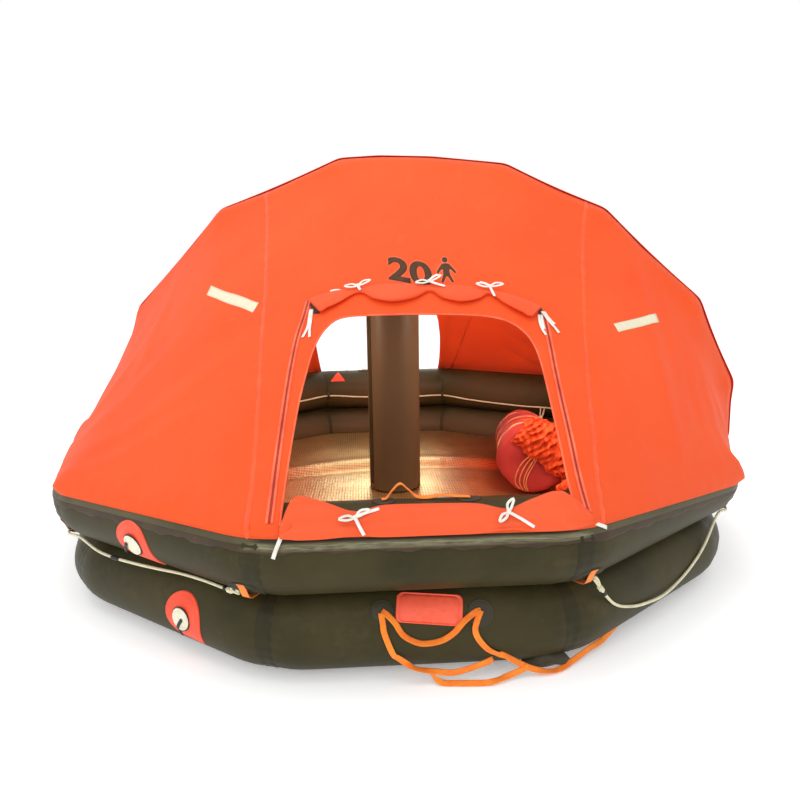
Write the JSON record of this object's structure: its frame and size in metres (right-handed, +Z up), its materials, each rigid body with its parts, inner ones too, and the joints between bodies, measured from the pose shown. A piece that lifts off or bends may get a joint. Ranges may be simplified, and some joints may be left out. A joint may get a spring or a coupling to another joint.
{
  "type": "inflatable life raft",
  "caption": "Inflatable life raft with stacked dark rubber tubes, an orange-red canopy over an arch, open doorways, foil floor, grab lines and boarding webbing.",
  "frame": {"origin": "on the ground, under the middle of the raft", "axes": "+Z up, -Y out through the front doorway, +X to the right as seen from in front of that doorway"},
  "size_m": [3.9008, 3.69, 2.1253],
  "materials": {
    "tube_rubber": "satin coated fabric",
    "canopy_fabric": "coated woven cloth",
    "floor_foil": "metal foil laminate with a fine grid",
    "webbing": "woven webbing",
    "cord": "laid rope",
    "valve_plastic": "moulded",
    "bag_fabric": "coated cloth",
    "cylinder_steel": "grey paint",
    "pocket_fabric": "coated cloth"
  },
  "bodies": {
    "root": {"lower_tube": "tube_rubber", "upper_tube": "tube_rubber", "floor": "floor_foil", "centre_column": "tube_rubber", "arch_tube": "tube_rubber", "canopy_front_header": "canopy_fabric", "canopy_front_doorway": "canopy_fabric", "canopy_front_left": "canopy_fabric", "canopy_front_right": "canopy_fabric", "canopy_rear_header": "canopy_fabric", "canopy_rear_doorway": "canopy_fabric", "canopy_rear_left": "canopy_fabric", "canopy_rear_right": "canopy_fabric", "front_top_flap_roll": "canopy_fabric", "rear_top_flap_roll": "canopy_fabric", "front_sill_roll": "canopy_fabric", "rear_sill_roll": "canopy_fabric", "front_boarding_sign": "webbing", "rear_boarding_sign": "webbing", "upper_tube_valve": "valve_plastic", "lower_tube_valve": "valve_plastic", "grab_line_left": "cord", "grab_line_right": "cord", "grab_tab_left_1": "webbing", "grab_tab_left_2": "webbing", "grab_tab_left_3": "webbing", "grab_tab_left_4": "webbing", "grab_tab_left_5": "webbing", "grab_tab_right_1": "webbing", "grab_tab_right_2": "webbing", "grab_tab_right_3": "webbing", "grab_tab_right_4": "webbing", "grab_tab_right_5": "webbing", "inner_grab_line": "cord", "front_boarding_ladder": "webbing", "rear_boarding_ladder": "webbing", "front_doorway_grip": "webbing", "rear_doorway_grip": "webbing", "equipment_bag": "bag_fabric", "water_pocket_1": "pocket_fabric", "water_pocket_2": "pocket_fabric", "water_pocket_3": "pocket_fabric", "water_pocket_4": "pocket_fabric", "gas_cylinder": "cylinder_steel"}
  },
  "joints": []
}
